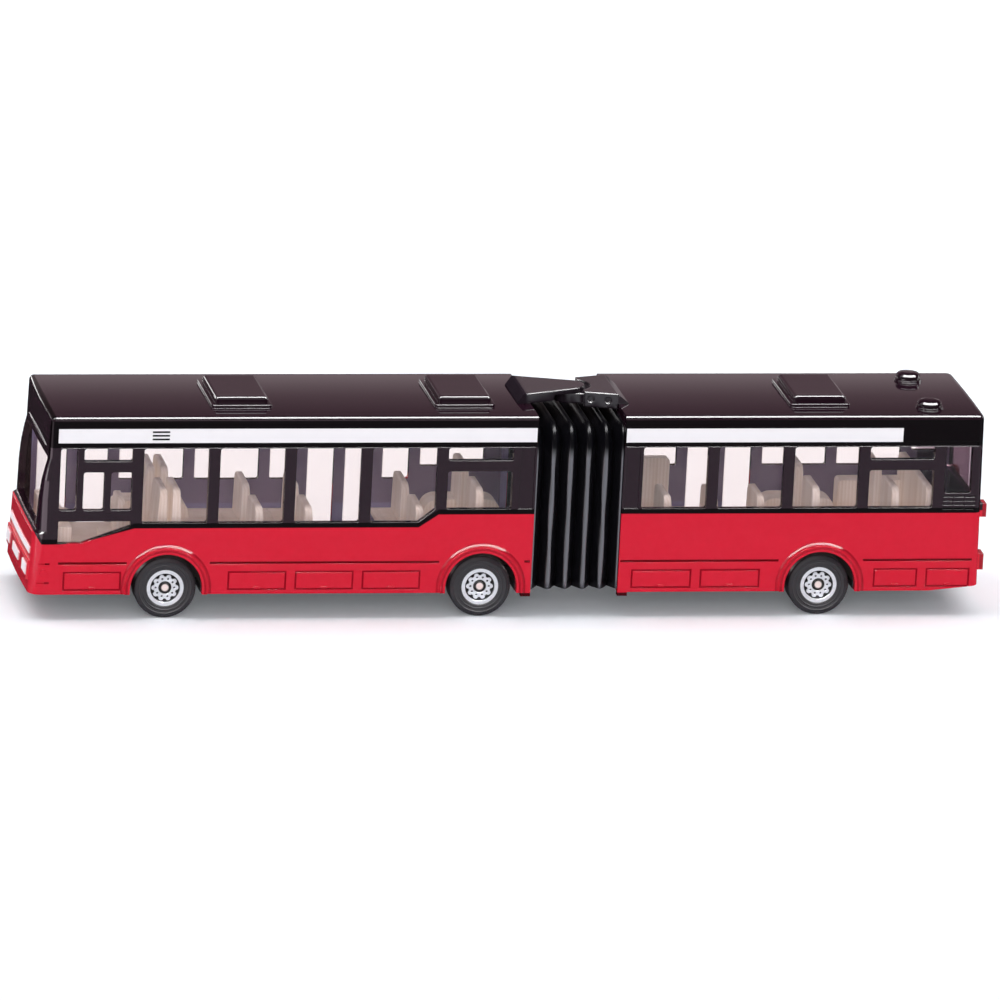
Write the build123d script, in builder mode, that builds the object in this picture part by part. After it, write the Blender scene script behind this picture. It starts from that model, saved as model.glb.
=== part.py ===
from build123d import *
import os

os.makedirs("parts", exist_ok=True)

# A die-cast toy articulated city bus: two hollow castings with smoked window inserts and moulded seats,
# black base plates, six free wheels on three steel pins, and a pleated bellows round a pivot that the
# roof link and the two base plates share.
# Millimetres. X runs from the nose (-X) to the tail (+X), Y from the driver's side (-Y) to the door
# side (+Y), and Z up from the surface that the wheels stand on. X is 0 halfway along the bus.

# The two sections
front_section_length = 88.4
rear_section_length = 65.2
bellows_length = 15.4
body_width = 28.0
roof_height = 36.2
skirt_height = 4.5
wall = 1.2
overrun = 1.0
nesting_gap = 0.08
total_length = front_section_length + bellows_length + rear_section_length
half_width = body_width / 2
inner_half = half_width - wall
front_x = -total_length / 2
front_end_x = front_x + front_section_length
pivot_x = front_end_x + bellows_length / 2
rear_start_x = front_end_x + bellows_length
rear_x = total_length / 2

# Wheels and axles
wheel_radius = 5.4
tyre_width = 4.4
wheel_face_inset = 0.7
tyre_edge = 0.45
tyre_shoulder = 0.16
rim_radius = 3.3
rim_gap = 0.02
axle_radius = 0.55
bore_clearance = 0.05
front_axle_from_nose = 24.4
middle_axle_from_end = 8.8
rear_axle_from_start = 35.8
arch_gap = 0.9
arch_lip_width = 0.95
arch_lip_proud = 0.3
front_axle_x = front_x + front_axle_from_nose
middle_axle_x = front_end_x - middle_axle_from_end
rear_axle_x = rear_start_x + rear_axle_from_start
arch_radius = wheel_radius + arch_gap
arch_lip_radius = arch_radius + arch_lip_width
tyre_face_y = half_width - wheel_face_inset
tyre_back_y = tyre_face_y - tyre_width

# Wheel hubs: a dished ring round a scalloped disc, hollowed in the middle for the pin's head
ring_radius = 2.6
hub_recess = 0.9
hub_face_inset = 0.25
lobes = 10
lobe_radius = 0.42
lobe_circle = 1.95
hole_radius = 0.2
hole_circle = 1.62
hole_depth = 0.3
cap_radius = 1.15
cap_depth = 0.45
pin_head_radius = 0.85
pin_head_height = 0.4

# Nose: upright band, a ledge under the screen, then the raked screen and the destination box
bumper_proud = 0.35
nose_bulge = 0.25
nose_low_corner = 2.2
nose_high_corner = 0.9
ledge_height = 15.3
screen_foot = 15.7
screen_head = 28.8
band_rake = 0.5
ledge_depth = 0.7
screen_rake = 1.4
fascia_rake = 0.2
bumper_foot = 6.6
bumper_top = 10.0
nose_lamp_inner = 7.4
nose_lamp_outer = 11.4
nose_lamp_foot = 7.4
nose_lamp_top = 9.3
nose_lamp_proud = 0.15
plate_half_width = 3.4
plate_height = 1.5
trim_foot = 11.2
trim_top = 12.3
trim_half_width = 11.4
side_lamp_radius = 0.62
side_lamp_z = 8.4
side_lamp_from_nose = 1.9
nose_line_length = 3.6
nose_line_height = 0.3
sign_half_width = 10.4
sign_foot = 30.2
sign_top = 34.4
sign_depth = 0.2
roof_edge_radius = 0.8

# Tail
lamp_proud = 0.9
tail_bulge = 0.2
tail_corner_radius = 1.3
tail_rake = 0.5
tail_rise = 0.9
tail_rise_length = 9.0
tail_lamp_inner = 9.7
tail_lamp_width = 2.7
high_lamp_foot = 17.4
high_lamp_height = 2.4
low_lamp_foot = 7.8
low_lamp_height = 2.9
engine_flap_half_width = 7.8
engine_flap_foot = 9.2
engine_flap_top = 18.4
vent_slots = 5
vent_slot_height = 0.5
fittings_proud = bumper_proud + nose_lamp_proud
plate_foot = (nose_lamp_foot + nose_lamp_top - plate_height) / 2
plate_setback = band_rake * (plate_foot - skirt_height) / (ledge_height - skirt_height)
nose_x = front_x + fittings_proud - plate_setback
tail_x = rear_x - lamp_proud

# Side windows: heights, and lengths along each section
window_head = 30.6
low_sill = 17.25
high_sill = 19.55
window_corner = 0.45
pillar = 1.9
driver_window_from_nose = 5.2
driver_window_width = 12.6
window_width = 11.4
rear_window_width = 11.5
rear_window_from_start = 3.4
tail_window_width = 4.8
tail_window_sill = 22.2
door_foot = 8.6
slider_head = 28.3
slider_bar = 1.9
thin_bar = 1.1
driver_sill_drop = 3.6
quarter_pane_width = 3.0
sill_cut_width = 2.9
leaf_width = 4.75
blind_panel_width = 2.5
blind_panel_margin = 0.35
plain_windows = 3
rear_plain_windows = 3
driver_x = front_x + driver_window_from_nose
driver_end_x = driver_x + driver_window_width
window_pitch = window_width + pillar
first_window_x = driver_end_x + pillar
step_window_x = first_window_x + plain_windows * window_pitch
front_slider_x = step_window_x + window_pitch
middle_door_x = step_window_x - pillar / 2
middle_door_reach = pillar / 2 + leaf_width
rear_pitch = rear_window_width + pillar
rear_window_x = rear_start_x + rear_window_from_start
rear_door_x = rear_window_x + rear_pitch
rear_slider_x = rear_window_x + rear_plain_windows * rear_pitch
tail_window_x = rear_slider_x + rear_pitch

# Relief in the sides of the castings
groove_depth = 0.25
rain_groove_z = 31.1
rain_groove_height = 0.8
skirt_groove_z = 10.1
skirt_groove_height = 0.4
panel_top = 8.6
panel_foot = 5.2
panel_gap = 1.5
driver_panel_margin = 0.9
arch_panel_margin = 3.2
end_panel_margin = 2.0
tail_panel_margin = 0.3
latch_length = 1.1
latch_height = 0.35
seam_width = 0.3
groove_arch_gap = 0.25
side_vent_from_nose = 21.0
side_vent_width = 3.0
side_vent_foot = 32.1
side_vent_pitch = 0.65
side_vent_slots = 3
louvre_rows = 4
louvre_columns = 3
louvre_pitch = 0.74
louvre_gap = 0.25
stop_length = 1.7
stop_height = 0.7

# Window inserts
glass_thickness = 0.7
glass_inset = 0.25
liner_foot = 13.2
screen_half_width = 11.7
screen_foot_half = 10.8
screen_head_half = 12.7
screen_corner = 0.7
screen_proud = 0.15
back_glass_half_width = 9.6
back_glass_foot = 20.2
back_glass_head = 30.4
liner_inset = wall + nesting_gap
glass_inner = liner_inset + glass_thickness

# Seats and floors
floor_z = 11.3
floor_thickness = 0.8
floor_gap = 0.15
seat_wall_gap = 0.5
aisle_half_width = 2.9
back_foot = 2.1
back_tip = 1.2
back_lean = 0.15
back_round = 0.5
back_corner = 1.6
cushion_length = 2.4
cushion_height = 0.6
tall_back = 11.0
middle_back = 9.5
short_back = 7.8
side_seat_start = 1.4
side_seat_end = 13.1
side_seat_back = 10.1
side_seat_thickness = 1.7
arch_box_half_length = 6.9
arch_box_width = 5.0
arch_box_height = 3.6
arch_box_corner = 2.6
engine_box_start = 43.1
engine_box_length = 12.0
engine_box_height = 6.4
door_well_side = 4.5
dash_length = 3.2
dash_height = 4.6
dash_from_nose = 4.4
steering_wheel_radius = 2.1
steering_wheel_thickness = 0.55
steering_column_radius = 0.45
steering_y = -6.6
driver_back_from_nose = 16.0
driver_back = 8.9
driver_cushion_height = 2.4
seat_half = half_width - glass_inner - seat_wall_gap
floor_inset = wall + floor_gap

# Base plates
base_thickness = 1.3
base_gap = 0.12
well_clearance = 0.8
carrier_half_length = 1.9
carrier_half_width = 8.2
carrier_cover = 0.9
rib_width = 0.8
rib_height = 0.3
boss_radius = 1.9
boss_socket_radius = 1.1
base_inset = wall + base_gap

# Bellows
pleats = 5
pleat_depth = 1.6
ridge_flat = 0.5
bellows_skin = 0.55
bellows_foot = 5.0
bellows_side_inset = 0.25
bellows_top_drop = 1.6
bellows_corner = 3.2

# Roof link and floor coupling
hood_half_width = 6.0
hood_overlap = 2.4
hood_ramp = 1.1
hood_nose_radius = 2.7
hood_edge = 0.15
hood_low = 1.75
hood_high = 1.9
nose_plate_thickness = 0.9
jaw_radius = 3.8
link_gap = 0.3
link_half_front = 4.6
link_half_rear = 6.3
link_front_reach = 2.0
link_height = 1.8
link_depth = 0.85
link_slope_length = 1.8
link_lap = 0.2
link_end_gap = 0.15
dimple_radius = 0.55
dimple_depth = 0.35
lip_gap = 0.1
pin_radius = 1.0
eye_radius = 2.8
tongue_half_width = 2.4
tongue_thickness = 0.9
tongue_gap = 0.2
front_tongue_z = 5.2
rivet_head_radius = 1.6
rivet_head_height = 0.35
link_bottom = roof_height - link_depth
nose_plate_foot = roof_height + hood_high - nose_plate_thickness
lip_top = nose_plate_foot - lip_gap
rear_tongue_z = front_tongue_z + tongue_thickness + tongue_gap

# Roof fittings
hatch_length = 10.6
hatch_across = 17.0
hatch_tier = 0.6
hatch_step = 0.75
hatch_corner = 0.8
hatch_edge = 0.2
front_hatch_from_nose = 37.3
middle_hatch_from_end = 12.0
rear_hatch_from_start = 35.4
vent_radius = 2.4
vent_height = 1.6
vent_from_tail = 10.5
vent_side = 8.9

NEAR = -1
FAR = 1
UPWARDS = (Align.CENTER, Align.CENTER, Align.MIN)


def side_plane(side, y):
    # faces along Y, at a distance from the middle on one side
    return Plane.XZ.offset(-side * y)


def pane(x0, x1, z0, z1, corner):
    with Locations(((x0 + x1) / 2, (z0 + z1) / 2)):
        if corner > 0:
            RectangleRounded(x1 - x0, z1 - z0, corner)
        else:
            Rectangle(x1 - x0, z1 - z0)


def outline_pane(points, corner):
    with BuildSketch() as shape:
        with BuildLine():
            Polyline(*points, close=True)
        make_face()
        fillet(shape.vertices(), corner)
    add(shape.sketch)


def plan_face(z, end_x, other_x, half, bulge, corner):
    # plan of a section at a height: a bowed end at end_x, a square end at other_x
    inward = 1 if other_x > end_x else -1
    shoulder = end_x + inward * bulge
    with BuildSketch(Plane.XY.offset(z)) as plan:
        with BuildLine():
            ThreePointArc((shoulder, -half), (end_x, 0), (shoulder, half))
            Polyline((shoulder, half), (other_x, half), (other_x, -half), (shoulder, -half))
        make_face()
        bowed = [v for v in plan.vertices() if abs(v.X - shoulder) < abs(v.X - other_x)]
        fillet(bowed, corner)
    return plan.sketch.faces()[0]


# The screen bows forward: shares of its height, with how much of its rake it has reached there
screen_bow_shares = ((0.45, 0.17), (0.7, 0.4), (0.88, 0.72))
screen_stations = [
    (screen_foot + height * (screen_head - screen_foot), band_rake + ledge_depth + reached * screen_rake)
    for height, reached in screen_bow_shares
]
nose_stations = [
    (skirt_height, 0),
    (ledge_height, band_rake),
    (screen_foot, band_rake + ledge_depth),
    *screen_stations,
    (screen_head, band_rake + ledge_depth + screen_rake),
    (roof_height, band_rake + ledge_depth + screen_rake + fascia_rake),
]


def nose_setback(z):
    # leans back a little, steps in over the ledge, and bows back again over the screen
    for (z0, back0), (z1, back1) in zip(nose_stations, nose_stations[1:]):
        if z <= z1:
            return back0 + (back1 - back0) * (z - z0) / (z1 - z0)
    return nose_stations[-1][1]


def nose_corner(z):
    # broad corners below the screen, tight ones above it
    share = min(max((z - screen_foot) / (screen_head - screen_foot), 0), 1)
    return nose_low_corner + (nose_high_corner - nose_low_corner) * share


def front_hull(z_low, z_high, inset, end_x, mode=Mode.ADD):
    # the front section between two heights, taken in by inset all round
    between = [z for z, setback in nose_stations if z_low < z < z_high]
    plans = [
        plan_face(
            z,
            nose_x + nose_setback(z) + inset,
            end_x,
            half_width - inset,
            nose_bulge,
            max(nose_corner(z) - inset, nose_high_corner / 4),
        )
        for z in [z_low] + between + [z_high]
    ]
    loft(sections=plans, ruled=True, mode=mode)


def tail_setback(z):
    return tail_rake * (z - skirt_height) / (roof_height - skirt_height)


def rear_hull(z_low, z_high, inset, end_x, mode=Mode.ADD):
    # the rear section between two heights, taken in by inset all round
    corner = max(tail_corner_radius - inset, tail_corner_radius / 4)
    plans = [
        plan_face(z, tail_x - tail_setback(z) - inset, end_x, half_width - inset, tail_bulge, corner)
        for z in (z_low, z_high)
    ]
    loft(sections=plans, ruled=True, mode=mode)


def tail_rise_cut():
    # the skirt and the base plate rise a little towards the tail
    start = tail_x - tail_rise_length
    end = tail_x + overrun
    slope = tail_rise / tail_rise_length
    with BuildSketch(Plane.XZ) as wedge:
        with BuildLine():
            Polyline(
                (start, skirt_height),
                (end, skirt_height + slope * (end - start)),
                (end, skirt_height - overrun),
                (start, skirt_height - overrun),
                close=True,
            )
        make_face()
    extrude(wedge.sketch, amount=half_width + overrun, both=True, mode=Mode.SUBTRACT)


def driver_window(grow):
    # a quarter light, a slider over two panes, and a low pane with a dropped sill
    slider_x = driver_x + quarter_pane_width + thin_bar
    middle = slider_x + (driver_end_x - slider_x - thin_bar) / 2
    low_head = slider_head - slider_bar
    for x0, x1, z0, z1 in (
        (driver_x, driver_x + quarter_pane_width, high_sill, window_head),
        (slider_x, driver_end_x, slider_head, window_head),
        (slider_x, middle, high_sill, low_head),
        (middle + thin_bar, driver_end_x, high_sill, low_head),
    ):
        pane(x0 - grow, x1 + grow, z0 - grow, z1 + grow, window_corner)
    top = high_sill - slider_bar + grow
    foot = low_sill - driver_sill_drop - grow
    outline_pane(
        (
            (driver_x - grow, top),
            (driver_x - grow, foot),
            (slider_x, foot),
            (driver_end_x + grow, low_sill - thin_bar / 2 - grow),
            (driver_end_x + grow, top),
        ),
        window_corner / 2,
    )


def slider_window(x0, x1, grow):
    # a tilting pane over a fixed one
    pane(x0 - grow, x1 + grow, slider_head - grow, window_head + grow, window_corner)
    pane(x0 - grow, x1 + grow, high_sill - grow, slider_head - slider_bar + grow, window_corner)


def door_window(x0, x1, grow):
    # the two tall leaves of a door
    leaf = (x1 - x0 - pillar) / 2
    for x in (x0, x1 - leaf):
        pane(x - grow, x + leaf + grow, door_foot - grow, window_head + grow, window_corner)


def front_panes(side, grow):
    low, head = low_sill - grow, window_head + grow
    step_end = step_window_x + window_width
    if side == NEAR:
        for index in range(plain_windows):
            x = first_window_x + index * window_pitch
            pane(x - grow, x + window_width + grow, low, head, window_corner)
        outline_pane(
            (
                (step_window_x - grow, low),
                (step_end - sill_cut_width, low),
                (step_end + grow, high_sill - grow),
                (step_end + grow, head),
                (step_window_x - grow, head),
            ),
            window_corner,
        )
        driver_window(grow)
    else:
        door_start = middle_door_x - middle_door_reach
        door_end = middle_door_x + middle_door_reach
        for x0, x1 in (
            (first_window_x, first_window_x + window_width),
            (first_window_x + window_pitch, first_window_x + window_pitch + window_width),
            (first_window_x + 2 * window_pitch, door_start - pillar),
            (door_end + pillar, step_end),
        ):
            pane(x0 - grow, x1 + grow, low, head, window_corner)
        door_window(door_start, door_end, grow)
        door_window(driver_x, driver_end_x, grow)
    slider_window(front_slider_x, front_slider_x + window_width, grow)


def rear_panes(side, grow):
    for index in range(rear_plain_windows):
        x = rear_window_x + index * rear_pitch
        if side == FAR and index == 1:
            door_window(x, x + rear_window_width, grow)
        else:
            pane(x - grow, x + rear_window_width + grow, high_sill - grow, window_head + grow, window_corner)
    slider_window(rear_slider_x, rear_slider_x + rear_window_width, grow)
    tail_end = tail_window_x + tail_window_width
    pane(tail_window_x - grow, tail_end + grow, tail_window_sill - grow, window_head + grow, window_corner)


def end_opening(x, half, z0, z1, corner, amount, mode):
    # a block cut from, or added to, an end face, seen along X
    with BuildSketch(Plane.YZ.offset(x)) as outline:
        with Locations((0, (z0 + z1) / 2)):
            if corner > 0:
                RectangleRounded(2 * half, z1 - z0, corner)
            else:
                Rectangle(2 * half, z1 - z0)
    extrude(outline.sketch, amount=amount, mode=mode)


def cut_windows(panes):
    for side in (NEAR, FAR):
        with BuildSketch(side_plane(side, inner_half - overrun)) as openings:
            panes(side, 0)
        extrude(openings.sketch, amount=-side * (wall + 2 * overrun), mode=Mode.SUBTRACT)


def fill_windows(panes):
    # panes stand out from the liner to just inside the casting's face
    inner = half_width - glass_inner
    for side in (NEAR, FAR):
        with BuildSketch(side_plane(side, inner)) as openings:
            panes(side, -nesting_gap)
        extrude(openings.sketch, amount=-side * (half_width - glass_inset - inner))


def wheel_arch(axle_x):
    # an opening through both sides with a raised lip round it
    for side in (NEAR, FAR):
        with BuildSketch(side_plane(side, inner_half)) as lip:
            with Locations((axle_x, wheel_radius)):
                Circle(arch_lip_radius)
            with Locations((axle_x, skirt_height - arch_lip_radius)):
                Rectangle(4 * arch_lip_radius, 2 * arch_lip_radius, mode=Mode.SUBTRACT)
        extrude(lip.sketch, amount=-side * (wall + arch_lip_proud))
        with BuildSketch(side_plane(side, inner_half - overrun)) as opening:
            with Locations((axle_x, wheel_radius)):
                Circle(arch_radius)
            with Locations((axle_x, wheel_radius - arch_radius)):
                Rectangle(2 * arch_radius, 2 * arch_radius)
        extrude(opening.sketch, amount=-side * (wall + 2 * overrun), mode=Mode.SUBTRACT)


def cut_grooves(side, spans):
    # shallow grooves and recesses in a side, each from x0 to x1 and from z0 to z1
    with BuildSketch(side_plane(side, half_width - groove_depth)) as grooves:
        for x0, x1, z0, z1 in spans:
            pane(x0, x1, z0, z1, 0)
    extrude(grooves.sketch, amount=-side * (groove_depth + overrun), mode=Mode.SUBTRACT)


def level_line(x0, x1, z, height):
    return (x0, x1, z - height / 2, z + height / 2)


def skirt_run(side, x0, x1, margin0, margin1, count):
    # a level groove over a row of flap outlines, each with a small latch at its foot
    width = (x1 - x0 - margin0 - margin1 - (count - 1) * panel_gap) / count
    starts = [x0 + margin0 + k * (width + panel_gap) for k in range(count)]
    with BuildSketch(side_plane(side, half_width - groove_depth)) as flaps:
        pane(*level_line(x0, x1, skirt_groove_z, skirt_groove_height), 0)
        for x in starts:
            pane(x, x + width, panel_foot, panel_top, 0)
        for x in starts:
            with Locations((x + width / 2, (panel_foot + panel_top) / 2)):
                Rectangle(
                    width - 2 * seam_width, panel_top - panel_foot - 2 * seam_width, mode=Mode.SUBTRACT
                )
    extrude(flaps.sketch, amount=-side * (groove_depth + overrun), mode=Mode.SUBTRACT)
    with BuildSketch(side_plane(side, half_width - wall / 2)) as latches:
        for x in starts:
            middle = x + width / 2
            foot = panel_foot + seam_width
            pane(middle - latch_length / 2, middle + latch_length / 2, foot, foot + latch_height, 0)
    extrude(latches.sketch, amount=-side * (wall / 2 + groove_depth))


def door_seams(side, x0, x1):
    foot = skirt_height + latch_height
    cut_grooves(
        side,
        [
            (x - seam_width / 2, x + seam_width / 2, foot, window_head)
            for x in (x0 - pillar / 2, (x0 + x1) / 2, x1 + pillar / 2)
        ],
    )


def passage(x):
    # the opening in a section's end wall, down through the skirt
    end_opening(
        x,
        inner_half - wall,
        skirt_height - overrun,
        roof_height - 2 * wall,
        0,
        wall + 2 * overrun,
        Mode.SUBTRACT,
    )


def end_stops(x0, x1):
    # small stops under the skirt beside the bellows
    for side in (NEAR, FAR):
        with Locations(((x0 + x1) / 2, side * (half_width - wall / 2), skirt_height)):
            Box(x1 - x0, wall, 2 * stop_height)


def roof_hatch(x):
    # two rounded tiers, the upper one smaller
    low_z = roof_height - wall / 2
    high_z = roof_height + hatch_tier
    for z, height, step in (
        (low_z, high_z - low_z, 0),
        (high_z, hatch_tier, hatch_step),
    ):
        with BuildPart(mode=Mode.PRIVATE) as tier:
            with BuildSketch(Plane.XY.offset(z)) as outline:
                with Locations((x, 0)):
                    RectangleRounded(hatch_length - 2 * step, hatch_across - 2 * step, hatch_corner)
            extrude(amount=height)
            fillet(tier.faces().sort_by(Axis.Z)[-1].edges(), hatch_edge)
        add(tier.part)


# A roof vent's outline from its foot to the middle of its cap: shares of its radius and of its height
vent_shares = (
    (1.0, 0.0),
    (1.0, 0.2),
    (0.8, 0.28),
    (0.8, 0.38),
    (0.88, 0.44),
    (0.88, 0.64),
    (0.76, 0.84),
    (0.45, 0.97),
    (0.0, 1.0),
)


def roof_vent(x, y):
    # a mushroom vent turned about its own upright axis, rooted in the roof
    root = wall / 2
    rim = [(x + out * vent_radius, roof_height + up * vent_height) for out, up in vent_shares]
    with BuildSketch(Plane.XZ.offset(-y)) as half_vent:
        with BuildLine():
            Polyline((x, roof_height - root), (x + vent_radius, roof_height - root), *rim, close=True)
        make_face()
    revolve(half_vent.sketch, axis=Axis((x, y, 0), (0, 0, 1)))


def nose_band(y0, y1, z_low, z_high, proud):
    # a band or lamp on the nose that follows its curve and stands out from it
    with BuildPart(mode=Mode.PRIVATE) as band:
        front_hull(z_low, z_high, -proud, nose_x + nose_bulge + band_rake + 2 * wall)
        front_hull(z_low - overrun, z_high + overrun, wall / 2, nose_x + 4 * wall, Mode.SUBTRACT)
        with Locations((nose_x, (y0 + y1) / 2, (z_low + z_high) / 2)):
            Box(8 * wall, y1 - y0, z_high - z_low, mode=Mode.INTERSECT)
    add(band.part)


def screen_opening(shrink, mode):
    # the screen's outline, narrow at its foot, as a cut through the nose or a block to fill it
    foot = screen_foot + thin_bar / 4 + shrink
    head = screen_head - shrink
    with BuildSketch(Plane.YZ.offset(nose_x - overrun)) as outline:
        with BuildLine():
            Polyline(
                (-screen_foot_half + shrink, foot),
                (screen_foot_half - shrink, foot),
                (screen_head_half - shrink, head),
                (-screen_head_half + shrink, head),
                close=True,
            )
        make_face()
        fillet(outline.vertices(), screen_corner)
    extrude(outline.sketch, amount=screen_depth, mode=mode)


def seat_unit(x, height, faces, y0, y1):
    # a seat with a tall slab of a back, rounded at its top corners, over a low cushion
    z = floor_z + floor_thickness / 2
    top = z + height
    with BuildPart(mode=Mode.PRIVATE) as unit:
        with BuildSketch(Plane.XZ.offset(-y1)) as profile:
            with BuildLine():
                Polyline(
                    (x, z),
                    (x - faces * back_foot, z),
                    (x - faces * (back_lean + back_tip), top),
                    (x - faces * back_lean, top),
                    (x, z + cushion_height),
                    (x + faces * cushion_length, z + cushion_height),
                    (x + faces * cushion_length, z),
                    close=True,
                )
            make_face()
            fillet(profile.vertices().sort_by(Axis.Y)[-2:], back_round)
        extrude(profile.sketch, amount=y1 - y0)
        with BuildSketch(Plane.YZ.offset(x - 2 * cushion_length)) as front:
            with Locations(((y0 + y1) / 2, top - height)):
                RectangleRounded(y1 - y0, 2 * height, back_corner)
        extrude(front.sketch, amount=4 * cushion_length, mode=Mode.INTERSECT)
    add(unit.part)


def seat_row(x, height, faces, sides):
    for side in sides:
        y0, y1 = sorted((side * aisle_half_width, side * seat_half))
        seat_unit(x, height, faces, y0, y1)


def arch_boxes(axle_x):
    # the covers over the wheels, rounded at both ends
    for side in (NEAR, FAR):
        with BuildSketch(side_plane(side, seat_half - arch_box_width)) as cover:
            with Locations((axle_x, floor_z + floor_thickness / 2)):
                RectangleRounded(2 * arch_box_half_length, 2 * arch_box_height, arch_box_corner)
            with Locations((axle_x, floor_z + floor_thickness / 2 - arch_box_height)):
                Rectangle(2 * arch_box_half_length, 2 * arch_box_height, mode=Mode.SUBTRACT)
        extrude(cover.sketch, amount=-side * arch_box_width)


def wall_box(x0, x1, thickness, height):
    # a box along the far wall, rounded at its upper corners
    with BuildSketch(side_plane(FAR, seat_half - thickness)) as side_view:
        with Locations(((x0 + x1) / 2, floor_z + floor_thickness / 2)):
            RectangleRounded(x1 - x0, 2 * height, back_corner / 2)
        with Locations(((x0 + x1) / 2, floor_z + floor_thickness / 2 - height)):
            Rectangle(x1 - x0, 2 * height, mode=Mode.SUBTRACT)
    extrude(side_view.sketch, amount=-FAR * thickness)


def door_well(x0, x1):
    # the floor stops short of a door
    depth = half_width - door_well_side
    with Locations(((x0 + x1) / 2, door_well_side + depth / 2, floor_z + floor_thickness)):
        Box(x1 - x0, depth, 2 * (floor_thickness + overrun), mode=Mode.SUBTRACT)


def axle_carrier(x):
    # a saddle on the base plate that the axle pin runs through
    top = wheel_radius + axle_radius + carrier_cover
    with Locations((x, 0, (skirt_height + top) / 2)):
        Box(2 * carrier_half_length, 2 * carrier_half_width, top - skirt_height)


def axle_bore(x):
    with BuildSketch(Plane.XZ) as bore:
        with Locations((x, wheel_radius)):
            Circle(axle_radius + bore_clearance)
    extrude(bore.sketch, amount=carrier_half_width + overrun, both=True, mode=Mode.SUBTRACT)


def wheel_wells(x):
    reach = wheel_radius + well_clearance
    depth = half_width - carrier_half_width
    for side in (NEAR, FAR):
        with Locations((x, side * (carrier_half_width + depth / 2), skirt_height + base_thickness / 2)):
            Box(2 * reach, depth, base_thickness + 2 * overrun, mode=Mode.SUBTRACT)


def underside_relief(x0, x1):
    # long ribs and two round bosses with sockets, moulded on the underside
    for side in (NEAR, FAR):
        with Locations(((x0 + x1) / 2, side * carrier_half_width / 2, skirt_height)):
            Box(x1 - x0, rib_width, 2 * rib_height)
    for x in (x0, x1):
        with BuildSketch(Plane.XY.offset(skirt_height - rib_height)) as boss:
            with Locations((x, 0)):
                Circle(boss_radius)
                Circle(boss_socket_radius, mode=Mode.SUBTRACT)
        extrude(boss.sketch, amount=2 * rib_height)


def tongue(x0, x1, z):
    # a bar that ends in a round eye about the pivot
    with BuildSketch(Plane.XY.offset(z)) as bar:
        with Locations(((x0 + x1) / 2, 0)):
            Rectangle(abs(x1 - x0), 2 * tongue_half_width)
        with Locations((pivot_x, 0)):
            Circle(eye_radius)
            Circle(pin_radius + bore_clearance, mode=Mode.SUBTRACT)
    extrude(bar.sketch, amount=tongue_thickness)


def pleated_loft(shrink, mode):
    # ridges and valleys in turn, from one end frame to the other
    half = half_width - bellows_side_inset - shrink
    top = roof_height - bellows_top_drop - shrink
    foot = bellows_foot if mode == Mode.ADD else bellows_foot - overrun
    pitch = bellows_length / pleats
    stations = [(front_end_x, 0)]
    for k in range(pleats):
        start = front_end_x + k * pitch
        stations += [
            (start + ridge_flat / 2, 0),
            (start + pitch / 2, pleat_depth),
            (start + pitch - ridge_flat / 2, 0),
        ]
    stations.append((rear_start_x, 0))
    sections = []
    for x, depth in stations:
        with BuildSketch(Plane.YZ.offset(x)) as section:
            with Locations((0, (foot + top - depth) / 2)):
                Rectangle(2 * (half - depth), top - depth - foot)
            fillet(section.vertices().sort_by(Axis.Y)[-2:], bellows_corner - shrink)
        sections.append(section.sketch.faces()[0])
    loft(sections=sections, ruled=True, mode=mode)


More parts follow.
